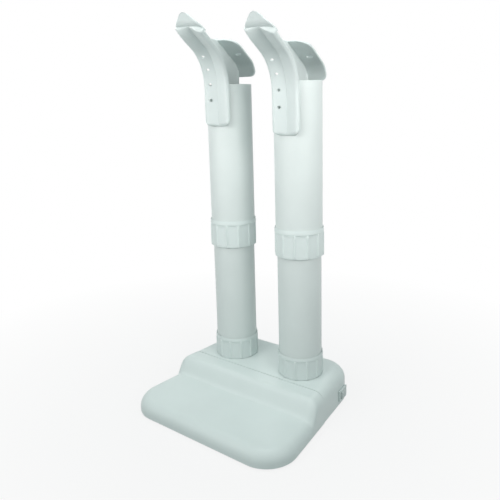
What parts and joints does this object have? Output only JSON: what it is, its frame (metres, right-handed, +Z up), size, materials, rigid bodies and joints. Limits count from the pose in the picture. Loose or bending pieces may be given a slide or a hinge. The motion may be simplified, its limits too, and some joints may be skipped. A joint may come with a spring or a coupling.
{
  "type": "electric boot dryer",
  "caption": "Stand-up electric boot dryer: low moulded base with fan and heaters, two telescoping air tubes with twist collars, and a swivelling toe guide on each.",
  "frame": {"origin": "on the floor under the middle of the bounding box", "axes": "+Z up along the tubes, -Y to the front with the low platform, +X to the right seen from the front"},
  "size_m": [0.2166, 0.1972, 0.4591],
  "materials": {
    "shell_plastic": "satin moulded, pale cool white",
    "tube_plastic": "smooth extruded, pale cool white",
    "dark_plastic": "moulded, matt",
    "black_rubber": "matt",
    "zinc_steel": "zinc plated",
    "motor_steel": "plated",
    "heater_aluminium": "plain"
  },
  "bodies": {
    "base": {"front_tray": "shell_plastic", "rear_housing": "shell_plastic", "base_pan": "shell_plastic", "air_duct": "shell_plastic", "fan_motor": "motor_steel", "thermal_cutout": "motor_steel", "terminal_block": "shell_plastic", "cord_bushing": "black_rubber", "switch_bezel": "shell_plastic", "rubber_foot_1": "black_rubber", "rubber_foot_2": "black_rubber", "rubber_foot_3": "black_rubber", "rubber_foot_4": "black_rubber", "casing_screw_1": "zinc_steel", "casing_screw_2": "zinc_steel", "casing_screw_3": "zinc_steel", "casing_screw_4": "zinc_steel", "casing_screw_5": "zinc_steel", "casing_screw_6": "zinc_steel", "casing_screw_7": "zinc_steel", "casing_screw_8": "zinc_steel", "motor_screw_1": "zinc_steel", "motor_screw_2": "zinc_steel", "motor_screw_3": "zinc_steel", "left_heater": "heater_aluminium", "left_lower_tube": "tube_plastic", "right_heater": "heater_aluminium", "right_lower_tube": "tube_plastic"},
    "fan_wheel": {"fan_wheel": "dark_plastic"},
    "switch_rocker": {"switch_rocker": "shell_plastic"},
    "left_upper_tube": {"left_upper_tube": "tube_plastic", "left_clamp_ring": "dark_plastic"},
    "left_lock_collar": {"left_lock_collar": "shell_plastic"},
    "left_base_collar": {"left_base_collar": "shell_plastic"},
    "left_toe_guide": {"left_toe_guide": "shell_plastic"},
    "right_upper_tube": {"right_upper_tube": "tube_plastic", "right_clamp_ring": "dark_plastic"},
    "right_lock_collar": {"right_lock_collar": "shell_plastic"},
    "right_base_collar": {"right_base_collar": "shell_plastic"},
    "right_toe_guide": {"right_toe_guide": "shell_plastic"}
  },
  "joints": [
    {"name": "fan_spin", "type": "hinge", "parent": "base", "child": "fan_wheel", "pos_m": [0, 0.0434, 0.02], "axis": [0, 0, 1], "continuous": true},
    {"name": "switch_rock", "type": "hinge", "parent": "base", "child": "switch_rocker", "pos_m": [0.09291, 0.06362, 0.013], "axis": [0, 0, 1], "range_deg": [-16, 0]},
    {"name": "left_tube_slide", "type": "slide", "parent": "base", "child": "left_upper_tube", "axis": [0, 0, 1], "range_m": [-0.115, 0]},
    {"name": "left_lock_twist", "type": "hinge", "parent": "left_upper_tube", "child": "left_lock_collar", "pos_m": [-0.0495, 0.0434, 0.203], "axis": [0, 0, 1], "range_deg": [0, 60]},
    {"name": "left_base_twist", "type": "hinge", "parent": "base", "child": "left_base_collar", "pos_m": [-0.0495, 0.0434, 0.052], "axis": [0, 0, 1], "range_deg": [0, 45]},
    {"name": "left_guide_swivel", "type": "hinge", "parent": "left_upper_tube", "child": "left_toe_guide", "pos_m": [-0.0495, 0.0434, 0.36], "axis": [0, 0, 1], "range_deg": [-101, 9]},
    {"name": "right_tube_slide", "type": "slide", "parent": "base", "child": "right_upper_tube", "axis": [0, 0, 1], "range_m": [-0.115, 0]},
    {"name": "right_lock_twist", "type": "hinge", "parent": "right_upper_tube", "child": "right_lock_collar", "pos_m": [0.0495, 0.0434, 0.203], "axis": [0, 0, 1], "range_deg": [0, 60]},
    {"name": "right_base_twist", "type": "hinge", "parent": "base", "child": "right_base_collar", "pos_m": [0.0495, 0.0434, 0.052], "axis": [0, 0, 1], "range_deg": [0, 45]},
    {"name": "right_guide_swivel", "type": "hinge", "parent": "right_upper_tube", "child": "right_toe_guide", "pos_m": [0.0495, 0.0434, 0.36], "axis": [0, 0, 1], "range_deg": [-28, 82]}
  ]
}
